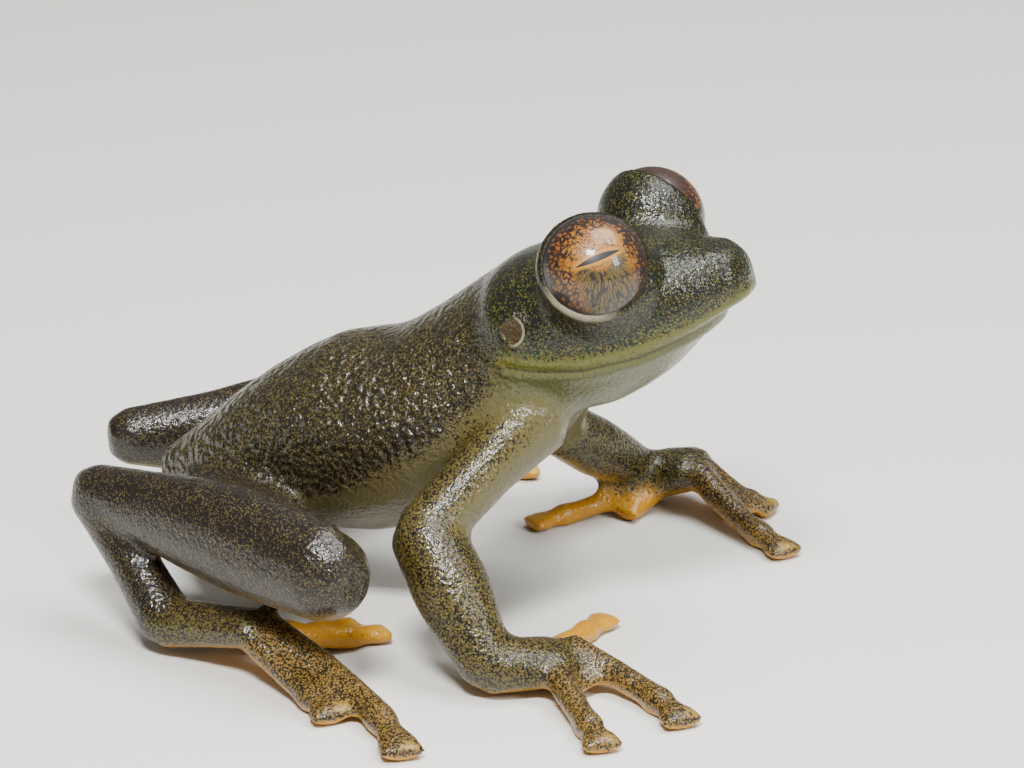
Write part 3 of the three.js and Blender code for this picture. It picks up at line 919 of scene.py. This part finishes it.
# Frog iris: a gold and copper reflecting layer under a net of black cells, behind a clear wet cornea
def eyeMaterial(side):
    material, tree = newMaterial("wet_copper_iris_" + side)
    mixer = Mixer(tree)
    local = eyeFrame(tree, side)
    x, y, z = addNode(tree, "ShaderNodeSeparateXYZ", {0: local}).outputs[:3]
    flat = addNode(tree, "ShaderNodeCombineXYZ", {0: x, 1: y}).outputs[0]
    out = addNode(tree, "ShaderNodeVectorMath", {0: flat}, operation="LENGTH").outputs["Value"]
    sideways = mixer.sum("ABSOLUTE", x)

    # net: cells with wavy walls, wider towards the rim
    shake = mixer.noise(local, eyeLook["netWaveSize"], 3.0)
    bent = mixer.pushed(flat, shake, eyeLook["netWave"])
    net = mixer.cells(bent, eyeLook["netCells"], "DISTANCE_TO_EDGE")
    netWide = mixer.sum("MULTIPLY_ADD", mixer.ramp(out, *eyeLook["netWiden"]), *eyeLook["netWidth"])
    gaps = mixer.ramp(mixer.noise(local, eyeLook["netGapSize"]).outputs[0], *eyeLook["netGaps"])
    whole = mixer.sum("MAXIMUM", gaps, mixer.ramp(out, *eyeLook["netWhole"]))
    fromWall = mixer.sum("DIVIDE", net.outputs["Distance"], netWide)
    netLine = mixer.times(mixer.fade(fromWall, *eyeLook["netEdge"]), whole)

    # streaks that fan out below the pupil
    turned = mixer.times(mixer.sum("ARCTAN2", y, x), eyeLook["fanTurn"])
    stretched = mixer.times(out, eyeLook["fanLength"])
    fan = addNode(tree, "ShaderNodeCombineXYZ", {0: turned, 1: stretched}).outputs[0]
    fanBent = mixer.pushed(fan, shake, eyeLook["fanWave"])
    streak = mixer.cells(fanBent, eyeLook["fanCells"], "DISTANCE_TO_EDGE")
    streakLine = mixer.fade(streak.outputs["Distance"], *eyeLook["fanEdge"])
    low = mixer.ramp(y, *eyeLook["fanTop"])
    fanZone = mixer.times(low, mixer.fade(sideways, *eyeLook["fanSide"]))
    fanZone = mixer.times(fanZone, mixer.ramp(out, *eyeLook["fanStart"]))
    netOnly = mixer.times(netLine, mixer.sum("SUBTRACT", 1.0, fanZone))
    lines = mixer.sum("MAXIMUM", netOnly, mixer.times(streakLine, fanZone))

    grain = mixer.noise(local, eyeLook["grainSize"]).outputs[0]
    gold = mixer.blend(grain, *eyeLook["gold"])
    rust = mixer.blend(grain, *eyeLook["rust"])
    ringed = mixer.blend(mixer.ramp(out, *eyeLook["rustFrom"]), gold, rust)
    sage = mixer.blend(grain, *eyeLook["sage"])
    ground = mixer.blend(mixer.times(fanZone, eyeLook["fanStrength"]), ringed, sage)
    iris = mixer.blend(lines, ground, eyeLook["lines"])
    iris = mixer.blend(mixer.ramp(out, *eyeLook["rimEdge"]), iris, eyeLook["rim"])
    iris = mixer.blend(mixer.ramp(out, *eyeLook["outerRimEdge"]), iris, eyeLook["outerRim"])
    iris = mixer.blend(mixer.fade(z, *eyeLook["behindEdge"]), iris, eyeLook["behind"])
    # painted shade of the lid darkens the upper outer part of the left iris
    shaded = mixer.times(mixer.ramp(out, *eyeLook["shadeFrom"]), mixer.ramp(y, *eyeLook["shadeHeight"]))
    iris = mixer.blend(mixer.times(shaded, eyeLook["shadeStrength"][side]), iris, eyeLook["shade"])

    # pupil: a slit with pointed ends, with a bright lip of gold
    squared = mixer.times(x, x)
    pupilHeight = eyeLook["pupilHeight"]
    edge = mixer.sum("MULTIPLY_ADD", squared, -pupilHeight / eyeLook["pupilLength"] ** 2, pupilHeight)
    inside = mixer.sum("SUBTRACT", edge, mixer.sum("ABSOLUTE", y))
    goldLip = mixer.ramp(inside, *eyeLook["goldLipEdge"])
    goldLip = mixer.times(goldLip, mixer.fade(sideways, *eyeLook["goldLipLength"]))
    iris = mixer.blend(mixer.times(goldLip, eyeLook["goldLipStrength"]), iris, eyeLook["goldLip"])
    iris = mixer.blend(mixer.ramp(inside, *eyeLook["pupilEdge"]), iris, eyeLook["pupil"])
    shader = addNode(tree, "ShaderNodeBsdfPrincipled", {
        "Base Color": iris, "Roughness": eyeLook["roughness"], "Coat Weight": eyeLook["cornea"],
        "Coat Roughness": eyeLook["corneaRoughness"], "Coat IOR": eyeLook["corneaRefraction"]})
    addNode(tree, "ShaderNodeOutputMaterial", {"Surface": shader.outputs[0]})
    return material


def buildEye(side):
    place = eyes[side]
    work = bmesh.new()
    bmesh.ops.create_icosphere(work, subdivisions=eyeLook["subdivisions"], radius=place["radius"])
    bmesh.ops.translate(work, vec=place["centre"], verts=work.verts)
    mesh = bpy.data.meshes.new(side + "_eyeball")
    work.to_mesh(mesh)
    work.free()
    for face in mesh.polygons:
        face.use_smooth = True
    ball = bpy.data.objects.new(side + "_eyeball", mesh)
    bpy.context.scene.collection.objects.link(ball)
    mesh.materials.append(eyeMaterial(side))
    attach(ball, "root")
    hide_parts(side + "_eye")


for side in ("right", "left"):
    buildEye(side)
print("eyes done")


# Floor, light and camera: metres, and degrees from the floor and about the upright axis
studio = {
    "floorSize": 1.6,
    "floorColour": "#dddbd4",
    "floorRoughness": 0.75,
    "cameraAzimuth": -74.0,
    "cameraHeight": 20.0,
    "cameraDistance": 0.224,
    "focalPixels": 4871.0,
    "pictureWidth": 1024,  # pixels
    "sensorWidth": 36.0,  # mm
    "clipping": (0.005, 10.0),
    "lookAtDrawn": (0.0, 0.0, 10.6),  # mm, in the solids' drawing frame
    # azimuth, height, distance, size and power of each lamp
    "softboxes": {
        "softbox_key": (-84, 56, 0.22, (0.06, 0.04), 0.9),
        "softbox_over": (40, 72, 0.25, (0.16, 0.16), 0.85),
        "softbox_front": (-20, 30, 0.24, (0.05, 0.07), 0.3),
    },
    "skyColour": "#dfe3e6",
    "skyStrength": 0.3,
}


def buildFloor():
    work = bmesh.new()
    bmesh.ops.create_grid(work, x_segments=8, y_segments=8, size=studio["floorSize"] / 2)
    mesh = bpy.data.meshes.new("floor")
    work.to_mesh(mesh)
    work.free()
    floor = bpy.data.objects.new("floor", mesh)
    bpy.context.scene.collection.objects.link(floor)
    material, tree = newMaterial("pale_floor")
    shader = addNode(tree, "ShaderNodeBsdfPrincipled", {
        "Base Color": hexColour(studio["floorColour"]), "Roughness": studio["floorRoughness"]})
    addNode(tree, "ShaderNodeOutputMaterial", {"Surface": shader.outputs[0]})
    mesh.materials.append(material)


def aimed(location, target):
    return (Vector(location) - Vector(target)).to_track_quat("Z", "Y").to_euler()


# the way from the frog to something at an azimuth and a height
def wayTo(azimuth, height):
    turn, lift = math.radians(azimuth), math.radians(height)
    return Vector((math.sin(turn) * math.cos(lift), -math.cos(turn) * math.cos(lift), math.sin(lift)))


def softbox(name, target, azimuth, height, distance, size, power):
    light = bpy.data.lights.new(name, "AREA")
    light.shape = "RECTANGLE"
    light.size, light.size_y = size
    light.energy = power
    lamp = bpy.data.objects.new(name, light)
    lamp.location = target + wayTo(azimuth, height) * distance
    lamp.rotation_euler = aimed(lamp.location, target)
    bpy.context.scene.collection.objects.link(lamp)


def buildCamera(target):
    data = bpy.data.cameras.new("camera")
    data.sensor_width = studio["sensorWidth"]
    data.lens = studio["focalPixels"] / studio["pictureWidth"] * data.sensor_width
    data.clip_start, data.clip_end = studio["clipping"]
    camera = bpy.data.objects.new("camera", data)
    back = wayTo(studio["cameraAzimuth"], studio["cameraHeight"])
    camera.location = target + back * studio["cameraDistance"]
    camera.rotation_euler = aimed(camera.location, target)
    bpy.context.scene.collection.objects.link(camera)
    bpy.context.scene.camera = camera


def buildStudio():
    buildFloor()
    target = (drawnShift / mm + Vector(studio["lookAtDrawn"])) * mm
    buildCamera(target)
    for name, settings in studio["softboxes"].items():
        softbox(name, target, *settings)
    world = bpy.data.worlds.new("studio_air")
    world.use_nodes = True
    sky = world.node_tree.nodes["Background"]
    sky.inputs[0].default_value = hexColour(studio["skyColour"])
    sky.inputs[1].default_value = studio["skyStrength"]
    bpy.context.scene.world = world


buildStudio()
print("studio done")
